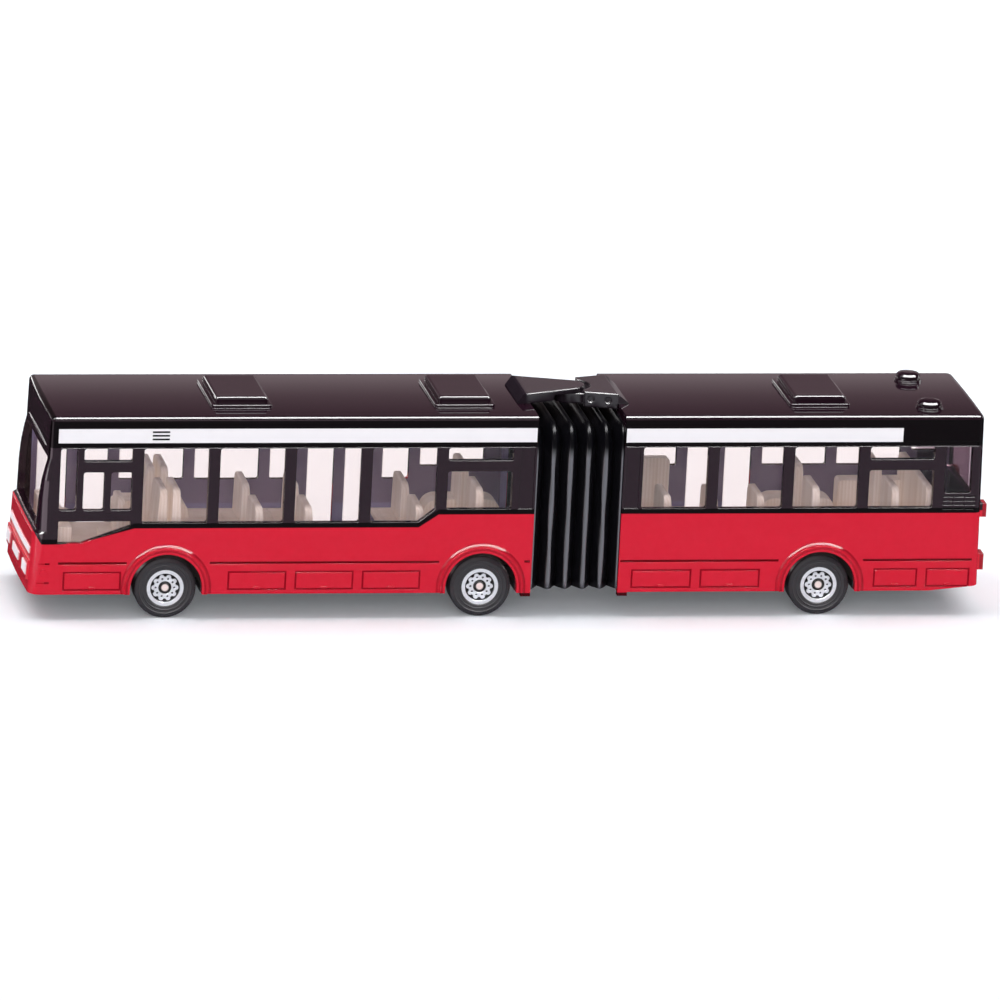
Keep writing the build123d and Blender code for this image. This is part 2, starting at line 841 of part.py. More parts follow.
# Front casting
screen_depth = overrun + nose_bulge + band_rake + ledge_depth + screen_rake + 2 * wall
with BuildPart() as front_body:
    front_hull(skirt_height, roof_height, 0, front_end_x)
    top_edges = front_body.faces().sort_by(Axis.Z)[-1].edges()
    fillet([e for e in top_edges if (e @ 0.5).X < front_end_x - wall], roof_edge_radius)
    front_hull(skirt_height - overrun, roof_height - wall, wall, front_end_x - wall, Mode.SUBTRACT)
    passage(front_end_x - wall - overrun)
    for axle_x in (front_axle_x, middle_axle_x):
        wheel_arch(axle_x)
    cut_windows(front_panes)
    screen_opening(0, Mode.SUBTRACT)
    sign_reach = overrun + nose_setback(sign_foot) + sign_depth
    end_opening(nose_x - overrun, sign_half_width, sign_foot, sign_top, 0, sign_reach, Mode.SUBTRACT)
    front_arch_start = front_axle_x - arch_lip_radius + groove_arch_gap
    front_arch_end = front_axle_x + arch_lip_radius + groove_arch_gap
    middle_arch_start = middle_axle_x - arch_lip_radius - groove_arch_gap
    middle_arch_end = middle_axle_x + arch_lip_radius + groove_arch_gap
    door_start = middle_door_x - middle_door_reach
    door_end = middle_door_x + middle_door_reach
    for side in (NEAR, FAR):
        line_x = nose_x + nose_line_length
        blind_x = front_end_x - blind_panel_margin
        cut_grooves(
            side,
            [
                level_line(driver_x, blind_x, rain_groove_z, rain_groove_height),
                (blind_x - blind_panel_width, blind_x, high_sill, window_head),
                level_line(nose_x, line_x, bumper_foot, nose_line_height),
                level_line(nose_x, line_x, bumper_top, nose_line_height),
                level_line(middle_arch_end, blind_x, skirt_groove_z, skirt_groove_height),
            ],
        )
        with BuildSketch(side_plane(side, half_width - wall / 2)) as side_lamp:
            with Locations((nose_x + side_lamp_from_nose + side_lamp_radius, side_lamp_z)):
                Circle(side_lamp_radius)
        extrude(side_lamp.sketch, amount=-side * (wall / 2 + groove_depth))
    skirt_run(
        NEAR, driver_x + groove_arch_gap, front_arch_start, driver_panel_margin, driver_panel_margin, 1
    )
    skirt_run(NEAR, front_arch_end, middle_arch_start, arch_panel_margin, arch_panel_margin, 3)
    skirt_run(FAR, front_arch_end, door_start - pillar, arch_panel_margin, driver_panel_margin, 2)
    door_seams(FAR, door_start, door_end)
    door_seams(FAR, driver_x, driver_end_x)
    vent_x = front_x + side_vent_from_nose
    vent_rows = [side_vent_foot + k * side_vent_pitch for k in range(side_vent_slots)]
    cut_grooves(
        NEAR,
        [(vent_x, vent_x + side_vent_width, z, z + side_vent_pitch / 2) for z in vent_rows],
    )
    nose_band(-screen_half_width, screen_half_width, bumper_foot, bumper_top, bumper_proud)
    nose_band(-trim_half_width, trim_half_width, trim_foot, trim_top, nose_lamp_proud)
    for side in (NEAR, FAR):
        inner_y, outer_y = sorted((side * nose_lamp_inner, side * nose_lamp_outer))
        nose_band(inner_y, outer_y, nose_lamp_foot, nose_lamp_top, fittings_proud)
    nose_band(-plate_half_width, plate_half_width, plate_foot, plate_foot + plate_height, fittings_proud)
    end_stops(front_end_x - stop_length, front_end_x)
    for x in (front_x + front_hatch_from_nose, front_end_x - middle_hatch_from_end):
        roof_hatch(x)
front_body.part.label = "front_body"
export_step(front_body.part, "parts/front_body.step")

# Rear casting
back_depth = overrun + tail_bulge + tail_rake + 2 * wall
with BuildPart() as rear_body:
    rear_hull(skirt_height, roof_height, 0, rear_start_x)
    top_edges = rear_body.faces().sort_by(Axis.Z)[-1].edges()
    fillet([e for e in top_edges if (e @ 0.5).X > rear_start_x + wall], roof_edge_radius)
    rear_hull(skirt_height - overrun, roof_height - wall, wall, rear_start_x + wall, Mode.SUBTRACT)
    passage(rear_start_x - overrun)
    wheel_arch(rear_axle_x)
    cut_windows(rear_panes)
    end_opening(
        tail_x + overrun,
        back_glass_half_width,
        back_glass_foot,
        back_glass_head,
        screen_corner,
        -back_depth,
        Mode.SUBTRACT,
    )
    rear_arch_start = rear_axle_x - arch_lip_radius - groove_arch_gap
    rear_arch_end = rear_axle_x + arch_lip_radius + groove_arch_gap
    tail_groove_end = tail_x - tail_corner_radius - groove_arch_gap
    louvre_width = (tail_window_width + thin_bar) / louvre_columns
    for side in (NEAR, FAR):
        blind_x = rear_start_x + blind_panel_margin
        louvres = [
            (
                tail_window_x + column * louvre_width,
                tail_window_x + (column + 1) * louvre_width - louvre_gap,
                tail_window_sill - (row + 1) * louvre_pitch,
                tail_window_sill - (row + 1) * louvre_pitch + louvre_pitch / 2,
            )
            for row in range(louvre_rows)
            for column in range(louvre_columns)
        ]
        cut_grooves(
            side,
            [
                level_line(blind_x, tail_groove_end, rain_groove_z, rain_groove_height),
                (blind_x, blind_x + blind_panel_width, high_sill, window_head),
            ]
            + louvres,
        )
        skirt_run(side, rear_arch_end, tail_groove_end, end_panel_margin, tail_panel_margin, 2)
    rear_line_start = rear_start_x + groove_arch_gap
    skirt_run(NEAR, rear_line_start, rear_arch_start, end_panel_margin, arch_panel_margin, 2)
    skirt_run(FAR, rear_line_start, rear_door_x - pillar, end_panel_margin, driver_panel_margin, 1)
    door_seams(FAR, rear_door_x, rear_door_x + rear_window_width)
    slot_pitch = (engine_flap_top - engine_flap_foot) / (vent_slots + 1)
    for k in range(vent_slots):
        slot_foot = engine_flap_foot + (k + 1) * slot_pitch
        slot_reach = overrun + tail_bulge + tail_setback(slot_foot) + groove_depth
        end_opening(
            tail_x + overrun,
            engine_flap_half_width,
            slot_foot,
            slot_foot + vent_slot_height,
            0,
            -slot_reach,
            Mode.SUBTRACT,
        )
    lamp_depth = lamp_proud + wall
    for side in (NEAR, FAR):
        for foot, height in ((high_lamp_foot, high_lamp_height), (low_lamp_foot, low_lamp_height)):
            lamp_y = side * (tail_lamp_inner + tail_lamp_width / 2)
            with Locations((rear_x - lamp_depth / 2, lamp_y, foot + height / 2)):
                Box(lamp_depth, tail_lamp_width, height)
    tail_rise_cut()
    end_stops(rear_start_x, rear_start_x + stop_length)
    roof_hatch(rear_start_x + rear_hatch_from_start)
    for side in (NEAR, FAR):
        roof_vent(rear_x - vent_from_tail, side * vent_side)
rear_body.part.label = "rear_body"
export_step(rear_body.part, "parts/rear_body.step")


def screen_block():
    # the windscreen, from the liner out to just proud of the casting
    with BuildPart(mode=Mode.PRIVATE) as screen:
        screen_opening(nesting_gap, Mode.ADD)
        front_hull(liner_foot, roof_height, -screen_proud, front_end_x, Mode.INTERSECT)
        front_hull(liner_foot, roof_height, glass_inner, front_end_x, Mode.SUBTRACT)
    return screen.part


def back_glass_block():
    # the back window, from the liner out to just inside the casting's face
    with BuildPart(mode=Mode.PRIVATE) as glass:
        end_opening(
            tail_x + overrun,
            back_glass_half_width - nesting_gap,
            back_glass_foot + nesting_gap,
            back_glass_head - nesting_gap,
            screen_corner,
            -back_depth,
            Mode.ADD,
        )
        rear_hull(liner_foot, roof_height, glass_inset, rear_start_x, Mode.INTERSECT)
        rear_hull(liner_foot, roof_height, glass_inner, rear_start_x, Mode.SUBTRACT)
    return glass.part


# Window insert of the front section
with BuildPart() as front_glazing:
    front_hull(liner_foot, roof_height - liner_inset, liner_inset, front_end_x - liner_inset)
    front_hull(liner_foot - overrun, roof_height - glass_inner, glass_inner, front_end_x, Mode.SUBTRACT)
    fill_windows(front_panes)
    add(screen_block())
front_glazing.part.label = "front_glazing"
export_step(front_glazing.part, "parts/front_glazing.step")

# Window insert of the rear section
with BuildPart() as rear_glazing:
    rear_hull(liner_foot, roof_height - liner_inset, liner_inset, rear_start_x + liner_inset)
    rear_hull(liner_foot - overrun, roof_height - glass_inner, glass_inner, rear_start_x, Mode.SUBTRACT)
    fill_windows(rear_panes)
    add(back_glass_block())
rear_glazing.part.label = "rear_glazing"
export_step(rear_glazing.part, "parts/rear_glazing.step")

# Floor and seats of the front section: the front of each back as a share of the section's length, its
# height, the way it faces (-1 is forwards)
front_row_shares = (
    (0.2776, tall_back, 1),
    (0.2862, tall_back, -1),
    (0.450, short_back, -1),
    (0.5475, short_back, -1),
    (0.768, short_back, -1),
    (0.886, tall_back, -1),
)
with BuildPart() as front_interior:
    front_hull(floor_z, floor_z + floor_thickness, floor_inset, front_end_x - floor_inset)
    for share, height, faces in front_row_shares:
        seat_row(front_x + share * front_section_length, height, faces, (NEAR, FAR))
    for axle_x in (front_axle_x, middle_axle_x):
        arch_boxes(axle_x)
    door_well(driver_x, driver_end_x)
    door_well(door_start, door_end)
    dash_x = nose_x + dash_from_nose + dash_length / 2
    dash_top = floor_z + dash_height
    with Locations((dash_x, 0, (floor_z + dash_top) / 2)):
        Box(dash_length, 2 * seat_half, dash_height)
    column_foot = dash_top - floor_thickness
    with Locations((dash_x, steering_y, column_foot)):
        Cylinder(steering_column_radius, steering_wheel_radius, align=UPWARDS)
    with Locations((dash_x, steering_y, column_foot + steering_wheel_radius)):
        Cylinder(steering_wheel_radius, steering_wheel_thickness)
    driver_seat_x = front_x + driver_back_from_nose
    driver_y0 = steering_y - aisle_half_width
    driver_y1 = steering_y + aisle_half_width
    seat_unit(driver_seat_x, driver_back, -1, driver_y0, driver_y1)
    with Locations((driver_seat_x - cushion_length / 2, steering_y, floor_z)):
        Box(cushion_length, 2 * aisle_half_width, driver_cushion_height, align=UPWARDS)
front_interior.part.label = "front_interior"
export_step(front_interior.part, "parts/front_interior.step")

# Floor and seats of the rear section: single seats beside the door, a seat along the far wall, a box over
# the engine, and the last row a bench
rear_row_shares = (
    (0.1196, middle_back, -1, (NEAR,)),
    (0.2454, middle_back, -1, (NEAR,)),
    (0.3727, middle_back, -1, (NEAR,)),
    (0.523, tall_back, -1, (NEAR, FAR)),
    (0.739, tall_back, -1, (NEAR, FAR)),
)
bench_share = 0.833
with BuildPart() as rear_interior:
    rear_hull(floor_z, floor_z + floor_thickness, floor_inset, rear_start_x + floor_inset)
    for share, height, faces, sides in rear_row_shares:
        seat_row(rear_start_x + share * rear_section_length, height, faces, sides)
    seat_unit(rear_start_x + bench_share * rear_section_length, tall_back, -1, -seat_half, seat_half)
    arch_boxes(rear_axle_x)
    side_seat_x = rear_start_x + side_seat_start
    wall_box(side_seat_x, rear_start_x + side_seat_end, side_seat_thickness, side_seat_back)
    engine_box_x = rear_start_x + engine_box_start
    wall_box(engine_box_x, engine_box_x + engine_box_length, 2 * side_seat_thickness, engine_box_height)
    door_well(rear_door_x, rear_door_x + rear_window_width)
rear_interior.part.label = "rear_interior"
export_step(rear_interior.part, "parts/rear_interior.step")

# Base plates, with the axle carriers and the two tongues of the coupling
with BuildPart() as front_chassis:
    front_hull(skirt_height, skirt_height + base_thickness, base_inset, front_end_x - base_inset)
    for x in (front_axle_x, middle_axle_x):
        wheel_wells(x)
        axle_carrier(x)
    underside_relief(front_axle_x + 2 * wheel_radius, middle_axle_x - 2 * wheel_radius)
    for x in (front_axle_x, middle_axle_x):
        axle_bore(x)
    tongue(front_end_x - 2 * base_inset, pivot_x, front_tongue_z)
front_chassis.part.label = "front_chassis"
export_step(front_chassis.part, "parts/front_chassis.step")

with BuildPart() as rear_chassis:
    rear_hull(skirt_height, skirt_height + base_thickness, base_inset, rear_start_x + base_inset)
    wheel_wells(rear_axle_x)
    axle_carrier(rear_axle_x)
    underside_relief(rear_start_x + 2 * wheel_radius, rear_axle_x - 2 * wheel_radius)
    axle_bore(rear_axle_x)
    tail_rise_cut()
    riser_start = rear_start_x + base_inset
    riser_top = rear_tongue_z + tongue_thickness
    tongue(riser_start + 2 * tongue_half_width, pivot_x, rear_tongue_z)
    with Locations((riser_start + tongue_half_width, 0, (skirt_height + riser_top) / 2)):
        Box(2 * tongue_half_width, 2 * tongue_half_width, riser_top - skirt_height)
rear_chassis.part.label = "rear_chassis"
export_step(rear_chassis.part, "parts/rear_chassis.step")

# The rivet that holds the two tongues together
with BuildPart() as coupling_rivet:
    rivet_foot = front_tongue_z - bore_clearance
    rivet_top = rear_tongue_z + tongue_thickness + bore_clearance
    for z, radius, height in (
        (rivet_foot - rivet_head_height, rivet_head_radius, rivet_head_height),
        (rivet_foot, pin_radius, rivet_top - rivet_foot),
        (rivet_top, rivet_head_radius, rivet_head_height),
    ):
        with Locations((pivot_x, 0, z)):
            Cylinder(radius, height, align=UPWARDS)
coupling_rivet.part.label = "coupling_rivet"
export_step(coupling_rivet.part, "parts/coupling_rivet.step")

# Pleated bellows, open underneath
with BuildPart() as bellows:
    pleated_loft(0, Mode.ADD)
    pleated_loft(bellows_skin, Mode.SUBTRACT)
bellows.part.label = "bellows"
export_step(bellows.part, "parts/bellows.step")

# Roof link: the hood on the front roof, ramped at its foot, with a thin nose and a peg about the pivot
with BuildPart() as roof_link_front:
    hood_start = front_end_x - hood_overlap
    nose_end = pivot_x + hood_nose_radius
    relief_x = pivot_x - eye_radius - link_gap
    with BuildSketch(Plane.XY.offset(roof_height)) as hood_plan:
        with Locations((hood_start + hood_ramp / 2, 0)):
            Rectangle(hood_ramp, 2 * hood_half_width)
        with Locations((pivot_x, 0)):
            Circle(hood_nose_radius)
        make_hull()
    extrude(hood_plan.sketch, amount=hood_high)
    with BuildSketch(Plane.XZ) as hood_profile:
        with BuildLine():
            Polyline(
                (hood_start, roof_height),
                (hood_start, roof_height + hood_edge),
                (hood_start + hood_ramp, roof_height + hood_low),
                (nose_end, roof_height + hood_high),
                (nose_end, nose_plate_foot),
                (relief_x, nose_plate_foot),
                (relief_x - link_gap, roof_height),
                close=True,
            )
        make_face()
    extrude(hood_profile.sketch, amount=hood_half_width, both=True, mode=Mode.INTERSECT)
    with Locations((pivot_x, 0, link_bottom)):
        Cylinder(pin_radius, nose_plate_foot - link_bottom + bore_clearance, align=UPWARDS)
roof_link_front.part.label = "roof_link_front"
export_step(roof_link_front.part, "parts/roof_link_front.step")

# Roof link: the bracket on the rear roof, a jaw round the hood's nose, with an eye for its peg on a lip
# below; places of the dimples in its sides are shares of its length
dimple_shares = (0.2, 0.72)
with BuildPart() as roof_link_rear:
    link_start = pivot_x + link_front_reach
    link_end = rear_start_x - link_end_gap
    with BuildSketch(Plane.XY.offset(link_bottom)) as link_plan:
        with BuildLine():
            Polyline(
                (link_start, -link_half_front),
                (link_start, link_half_front),
                (link_end, link_half_rear),
                (link_end, -link_half_rear),
                close=True,
            )
        make_face()
    extrude(link_plan.sketch, amount=link_depth + link_height)
    pad_end = rear_start_x + link_slope_length
    with BuildSketch(Plane.XZ) as pad_profile:
        with BuildLine():
            Polyline(
                (link_end, roof_height),
                (pad_end, roof_height),
                (pad_end, roof_height + link_lap),
                (link_end, roof_height + link_height),
                close=True,
            )
        make_face()
    extrude(pad_profile.sketch, amount=link_half_rear, both=True)
    with Locations((pivot_x, 0, link_bottom)):
        Cylinder(jaw_radius, link_depth + link_height + overrun, align=UPWARDS, mode=Mode.SUBTRACT)
    for share in dimple_shares:
        dimple_y = link_half_front + share * (link_half_rear - link_half_front) - dimple_depth
        for side in (NEAR, FAR):
            with BuildSketch(side_plane(side, dimple_y)) as dimple:
                with Locations((link_start + share * (link_end - link_start), roof_height + dimple_radius)):
                    Circle(dimple_radius)
            extrude(dimple.sketch, amount=-side * (dimple_depth + overrun), mode=Mode.SUBTRACT)
    with BuildSketch(Plane.XY.offset(link_bottom)) as lip_plan:
        with Locations((pivot_x, 0)):
            Circle(eye_radius - link_gap)
        with Locations((pivot_x + jaw_radius / 2, 0)):
            Rectangle(jaw_radius + link_gap, 2 * (eye_radius - link_gap))
        with Locations((pivot_x, 0)):
            Circle(pin_radius + bore_clearance, mode=Mode.SUBTRACT)
    extrude(lip_plan.sketch, amount=lip_top - link_bottom)
roof_link_rear.part.label = "roof_link_rear"
export_step(roof_link_rear.part, "parts/roof_link_rear.step")

# Axle pins, with a head in the hollow of each hub
pin_half = tyre_face_y - hub_face_inset - cap_depth + bore_clearance
for label, x in (
    ("axle_front", front_axle_x),
    ("axle_middle", middle_axle_x),
    ("axle_rear", rear_axle_x),
):
    with BuildPart() as axle:
        with BuildSketch(Plane.XZ) as shank:
            with Locations((x, wheel_radius)):
                Circle(axle_radius)
        extrude(shank.sketch, amount=pin_half + pin_head_height / 2, both=True)
        for side in (NEAR, FAR):
            with BuildSketch(side_plane(side, pin_half)) as head:
                with Locations((x, wheel_radius)):
                    Circle(pin_head_radius)
            extrude(head.sketch, amount=-side * pin_head_height)
    axle.part.label = label
    export_step(axle.part, f"parts/{label}.step")


def wheel_disc(x, side, y, radius, amount, mode=Mode.ADD):
    # a round disc or cut about the wheel's axis, from y outwards
    with BuildSketch(side_plane(side, y)) as disc:
        with Locations((x, wheel_radius)):
            Circle(radius)
    extrude(disc.sketch, amount=-side * amount, mode=mode)


# Wheels: a tyre on a plated rim
hub_floor_y = tyre_face_y - hub_recess
hub_face_y = tyre_face_y - hub_face_inset
for label, x, side in (
    ("front_near", front_axle_x, NEAR),
    ("front_far", front_axle_x, FAR),
    ("middle_near", middle_axle_x, NEAR),
    ("middle_far", middle_axle_x, FAR),
    ("rear_near", rear_axle_x, NEAR),
    ("rear_far", rear_axle_x, FAR),
):
    with BuildPart() as tyre:
        tread_edges = (
            (rim_radius + rim_gap, tyre_back_y),
            (wheel_radius - tyre_edge, tyre_back_y),
            (wheel_radius, tyre_back_y + tyre_edge),
            (wheel_radius, tyre_face_y - tyre_edge),
            (wheel_radius - tyre_shoulder, tyre_face_y - tyre_shoulder),
            (wheel_radius - tyre_edge - tyre_shoulder, tyre_face_y),
            (rim_radius + rim_gap, tyre_face_y),
        )
        with BuildSketch(Plane.XY.offset(wheel_radius)) as tyre_profile:
            with BuildLine():
                Polyline(*[(x + reach, side * y) for reach, y in tread_edges], close=True)
            make_face()
        revolve(tyre_profile.sketch, axis=Axis((x, 0, wheel_radius), (0, 1, 0)))
    tyre.part.label = f"{label}_tyre"
    export_step(tyre.part, f"parts/{label}_tyre.step")
    with BuildPart() as rim:
        wheel_disc(x, side, tyre_back_y, rim_radius, tyre_width)
        wheel_disc(x, side, hub_floor_y, ring_radius, hub_recess + overrun, Mode.SUBTRACT)
        with BuildSketch(side_plane(side, hub_floor_y)) as hub:
            with Locations((x, wheel_radius)):
                Circle(lobe_circle)
                with PolarLocations(lobe_circle, lobes):
                    Circle(lobe_radius)
        extrude(hub.sketch, amount=-side * (hub_recess - hub_face_inset))
        with BuildSketch(side_plane(side, hub_face_y - hole_depth)) as holes:
            with Locations((x, wheel_radius)):
                with PolarLocations(hole_circle, lobes):
                    Circle(hole_radius)
        extrude(holes.sketch, amount=-side * (hole_depth + overrun), mode=Mode.SUBTRACT)
        wheel_disc(x, side, hub_face_y - cap_depth, cap_radius, cap_depth + overrun, Mode.SUBTRACT)
        bore_radius = axle_radius + bore_clearance
        wheel_disc(x, side, tyre_back_y - overrun, bore_radius, tyre_width + overrun, Mode.SUBTRACT)
    rim.part.label = f"{label}_rim"
    export_step(rim.part, f"parts/{label}_rim.step")
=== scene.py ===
import math

import bmesh
import bpy
from mathutils import Matrix, Vector


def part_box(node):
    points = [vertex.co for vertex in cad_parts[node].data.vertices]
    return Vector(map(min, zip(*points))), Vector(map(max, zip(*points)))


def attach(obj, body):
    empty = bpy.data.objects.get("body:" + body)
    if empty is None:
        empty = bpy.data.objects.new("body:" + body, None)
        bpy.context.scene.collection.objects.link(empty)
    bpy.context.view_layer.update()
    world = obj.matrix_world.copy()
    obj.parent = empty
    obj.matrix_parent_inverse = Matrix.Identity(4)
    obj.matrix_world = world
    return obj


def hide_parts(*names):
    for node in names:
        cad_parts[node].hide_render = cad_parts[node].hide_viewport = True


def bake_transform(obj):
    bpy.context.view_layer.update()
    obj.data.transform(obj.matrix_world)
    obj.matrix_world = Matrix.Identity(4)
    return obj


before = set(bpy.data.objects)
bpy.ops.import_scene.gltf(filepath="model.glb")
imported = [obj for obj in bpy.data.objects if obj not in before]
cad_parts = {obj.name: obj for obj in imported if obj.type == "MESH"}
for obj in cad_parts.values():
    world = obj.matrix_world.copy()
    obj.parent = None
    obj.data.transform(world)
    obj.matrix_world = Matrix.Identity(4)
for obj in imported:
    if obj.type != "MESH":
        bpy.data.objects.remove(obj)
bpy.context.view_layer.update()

# Blender counts in metres; mm writes the toy's own sizes
mm = 0.001

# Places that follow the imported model
front_low, front_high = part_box("front_body")
rear_low, rear_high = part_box("rear_body")
bellows_low, bellows_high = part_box("bellows")
wheel_low, wheel_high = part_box("front_near_tyre")
nose_x = front_low.x
tail_x = rear_high.x
front_end_x = front_high.x
rear_start_x = rear_low.x
wheel_z = (wheel_low.z + wheel_high.z) / 2
wheel_face_y = -wheel_low.y
axle_places = {}
for axle in ("front", "middle", "rear"):
    low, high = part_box(f"{axle}_near_tyre")
    axle_places[axle] = (low.x + high.x) / 2

# Levels of the castings, as the source states them
half_width = 14.0 * mm
roof_z = 36.2 * mm
skirt_z = 4.5 * mm


# Shader building blocks

soft_edge = 0.02 * mm


def srgb(red, green, blue):
    """A colour given as 0 to 255, as the linear value that shaders take."""
    values = []
    for level in (red, green, blue):
        share = level / 255
        values.append(share / 12.92 if share <= 0.04045 else ((share + 0.055) / 1.055) ** 2.4)
    return (*values, 1.0)


class Shader:
    """A material's node tree, with short calls for the nodes used here."""

    def __init__(self, name):
        self.material = bpy.data.materials.new(name)
        self.material.use_nodes = True
        self.tree = self.material.node_tree
        self.principled = self.tree.nodes["Principled BSDF"]
        self.output = self.tree.nodes["Material Output"]
        self.place = self.add("ShaderNodeTexCoord").outputs["Object"]

    def add(self, kind, **settings):
        node = self.tree.nodes.new(kind)
        for key, value in settings.items():
            setattr(node, key, value)
        return node

    def feed(self, socket, value):
        """Links a socket to another one, or gives it a constant."""
        if isinstance(value, bpy.types.NodeSocket):
            self.tree.links.new(value, socket)
        else:
            socket.default_value = value

    def math(self, operation, first, second=0.0):
        node = self.add("ShaderNodeMath", operation=operation)
        self.feed(node.inputs[0], first)
        self.feed(node.inputs[1], second)
        return node.outputs[0]

    def axes(self):
        node = self.add("ShaderNodeSeparateXYZ")
        self.feed(node.inputs[0], self.place)
        return node.outputs

    def ramp(self, value, start, end, low=0.0, high=1.0):
        """Goes evenly from low to high while the value goes from start to end, and stays there."""
        node = self.add("ShaderNodeMapRange", clamp=True)
        for socket, setting in zip(node.inputs, (value, start, end, low, high)):
            self.feed(socket, setting)
        return node.outputs[0]

    def passing(self, value, level, low, high):
        """Goes from low to high where the value passes a level, over a fine soft edge."""
        if isinstance(level, bpy.types.NodeSocket):
            start = self.math("SUBTRACT", level, soft_edge)
            end = self.math("ADD", level, soft_edge)
            return self.ramp(value, start, end, low, high)
        return self.ramp(value, level - soft_edge, level + soft_edge, low, high)

    def above(self, value, level):
        return self.passing(value, level, 0.0, 1.0)

    def below(self, value, level):
        return self.passing(value, level, 1.0, 0.0)

    def within(self, value, low, high):
        return self.every(self.above(value, low), self.below(value, high))

    def every(self, *masks):
        """Where all the masks hold."""
        result = masks[0]
        for mask in masks[1:]:
            result = self.math("MULTIPLY", result, mask)
        return result

    def either(self, *masks):
        """Where at least one of the masks holds."""
        result = masks[0]
        for mask in masks[1:]:
            result = self.math("MAXIMUM", result, mask)
        return result

    def reach(self, axle_x):
        """Distance from the axis of a wheel."""
        axes = self.axes()
        offsets = self.math("SUBTRACT", axes["X"], axle_x), self.math("SUBTRACT", axes["Z"], wheel_z)
        squares = [self.math("MULTIPLY", value, value) for value in offsets]
        return self.math("SQRT", self.math("ADD", *squares))

    def round_ring(self, reach, start, end, height):
        """Height of a rounded ring between two distances from an axis."""
        turn = self.ramp(reach, start, end, 0.0, math.pi)
        return self.math("MULTIPLY", self.math("SINE", turn), height)

    def mix(self, factor, first, second):
        node = self.add("ShaderNodeMix", data_type="RGBA")
        self.feed(node.inputs["Factor"], factor)
        self.feed(node.inputs["A"], first)
        self.feed(node.inputs["B"], second)
        return node.outputs["Result"]

    def noise(self, scale, detail=3.0, stretch=None):
        place = self.place
        if stretch:
            mapping = self.add("ShaderNodeMapping")
            self.feed(mapping.inputs["Vector"], place)
            mapping.inputs["Scale"].default_value = stretch
            place = mapping.outputs["Vector"]
        node = self.add("ShaderNodeTexNoise")
        self.feed(node.inputs["Vector"], place)
        node.inputs["Scale"].default_value = scale
        node.inputs["Detail"].default_value = detail
        return node.outputs["Fac"]

    def mottled(self, scale, low, high):
        """A colour that wanders between two near tones."""
        return self.mix(self.noise(scale), low, high)

    def bump(self, height, strength, distance, normal=None):
        node = self.add("ShaderNodeBump")
        node.inputs["Strength"].default_value = strength
        node.inputs["Distance"].default_value = distance
        self.feed(node.inputs["Height"], height)
        if normal is not None:
            self.feed(node.inputs["Normal"], normal)
        return node.outputs["Normal"]

    def rounded(self, radius):
        """Normals that make sharp edges look rounded."""
        node = self.add("ShaderNodeBevel", samples=4)
        node.inputs["Radius"].default_value = radius
        return node.outputs["Normal"]

    def set(self, **values):
        names = {
            "color": "Base Color",
            "rough": "Roughness",
            "metal": "Metallic",
            "normal": "Normal",
            "specular": "Specular IOR Level",
            "coat": "Coat Weight",
            "coat_rough": "Coat Roughness",
            "coat_ior": "Coat IOR",
            "coat_tint": "Coat Tint",
            "glow": "Emission Strength",
            "glow_color": "Emission Color",
        }
        for key, value in values.items():
            self.feed(self.principled.inputs[names[key]], value)
        return self.material


# Enamel of the castings, where a pair is the two tones of a mottled colour

enamel_red = srgb(213, 33, 53), srgb(220, 39, 60)
enamel_black = srgb(32, 14, 25), srgb(38, 20, 31)
shade_black = srgb(9, 3, 6)
strip_white = srgb(252, 248, 250)
# Darker reds for painted shade in the sunk seams and in the skirt groove
seam_shade_red = srgb(168, 10, 34)
groove_shade_red = srgb(116, 1, 14)
# Dark red painted along the skirt's lowest edge: painted shade under the body
underside_shade_red = srgb(70, 4, 12)
inner_mauve = srgb(160, 154, 194)
fitting_white = srgb(240, 234, 238)
# Glow colour of the nose fittings: painted light
painted_fitting_light = srgb(240, 228, 232)
lamp_red = srgb(168, 22, 40)

enamel_rough = 0.045
enamel_specular = 0.21
dull_specular = 0.06
enamel_rounding = 0.18 * mm

# How far in from the sides the print, the relief and the wall itself reach
print_depth = 0.6 * mm
relief_depth = 1.1 * mm
wall_depth = 1.1 * mm

# Near-black painted shade over and under the windows
window_head = 30.75 * mm
shade_band_top = roof_z - 0.7 * mm
sill_shade = 0.9 * mm

# What counts as sunk, in the red and in the black, where painted shade darkens it, and where the relief
# lies
red_seam_depth = 0.14 * mm
black_seam_depth = 0.34 * mm
relief_x = nose_x + 3.2 * mm, tail_x - 2.4 * mm
relief_top = roof_z - 1.2 * mm
groove_z = 9.7 * mm, 10.5 * mm
underside_z = skirt_z - 0.1 * mm

# The roof's edge over the screen, painted near-black as painted shade, and the slight camber of the roof
brow_x = nose_x + 4.2 * mm
brow_z = roof_z - 0.45 * mm
camber_share = 2.5
camber_z = roof_z - 0.4 * mm

# Raised lips round the wheel arches
lip_radius = 7.9 * mm
lip_width = 1.2 * mm
lip_height = 0.7 * mm

# White strips, each from x to x and from z to z
front_strip = (-79.8 * mm, 3.75 * mm), (31.62 * mm, 34.15 * mm)
rear_strip = (19.5 * mm, 68.5 * mm), (31.45 * mm, 34.0 * mm)

# The room inside the castings, short of their open ends
room_x = nose_x + 4.2 * mm, tail_x - 1.95 * mm
front_room_end = front_end_x - 0.05 * mm
rear_room_start = rear_start_x + 0.06 * mm

# Nose fittings in millimetres: from y to y out from the middle, and from z to z
nose_fittings = {
    "trim": ((-1.0, 11.4), (11.2, 12.3)),
    "headlamps": ((7.4, 11.4), (7.4, 9.3)),
    "plate": ((-1.0, 3.4), (7.6, 9.1)),
}
fitting_x = nose_x + 1.6 * mm
# The nose fittings glow a little though none is a lit lamp: painted light
painted_fitting_glow = 0.4
lamp_x = tail_x - 0.7 * mm


